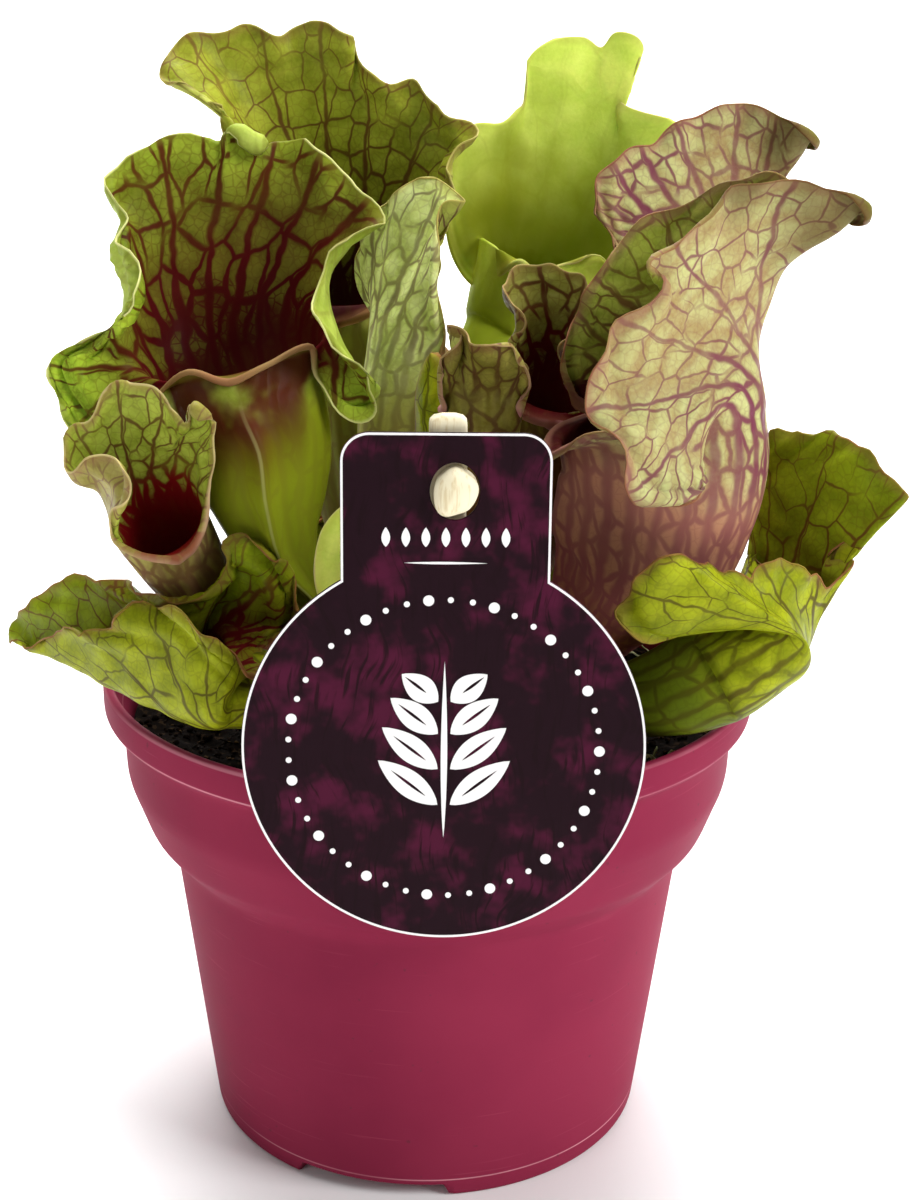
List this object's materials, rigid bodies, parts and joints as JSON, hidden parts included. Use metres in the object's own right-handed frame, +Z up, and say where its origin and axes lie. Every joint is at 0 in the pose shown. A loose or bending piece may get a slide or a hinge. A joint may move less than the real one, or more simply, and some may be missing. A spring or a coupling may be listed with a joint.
{
  "type": "potted pitcher plant",
  "caption": "Potted pitcher plant: a crown of hooded, veined tubular leaves in a tapered nursery pot with a stepped collar, and a round-bottomed label card hung on a peg at the rim.",
  "frame": {"origin": "on the ground under the middle of the pot", "axes": "+Z up along the pot's axis; the label card hangs on the -Y side, and +X is to the right as the label is faced"},
  "size_m": [0.1141, 0.0953, 0.1475],
  "materials": {
    "pot": "semi-matte moulded plum-pink plastic",
    "peat": "loose dark peat",
    "rhizome": "rough brown bark",
    "leaf_green": "satin green leaf",
    "leaf_veined": "satin leaf with a dark vein net",
    "leaf_pale": "satin yellow-green leaf",
    "leaf_mauve": "satin pale leaf with mauve veins",
    "leaf_dry": "dry tan leaf",
    "label_card": "satin print, dark aubergine",
    "label_peg": "bare pale wood"
  },
  "bodies": {
    "root": {"pot": "pot", "peat": "peat", "rhizome": "rhizome", "pitcher_front_left": "leaf_green", "pitcher_back_left": "leaf_veined", "pitcher_mid_left": "leaf_veined", "pitcher_centre_small": "leaf_veined", "pitcher_centre_curled": "leaf_veined", "pitcher_back_centre": "leaf_pale", "pitcher_back_right": "leaf_mauve", "pitcher_front_right": "leaf_mauve", "pitcher_low_right": "leaf_green", "pitcher_low_left": "leaf_green", "pitcher_small_left": "leaf_veined", "pitcher_rear_left": "leaf_green", "pitcher_rear": "leaf_veined", "pitcher_rear_right": "leaf_green", "leaf_centre": "leaf_green", "leaf_left": "leaf_pale", "leaf_dry": "leaf_dry", "leaf_right": "leaf_pale", "label_card": "label_card", "label_peg": "label_peg"}
  },
  "joints": []
}
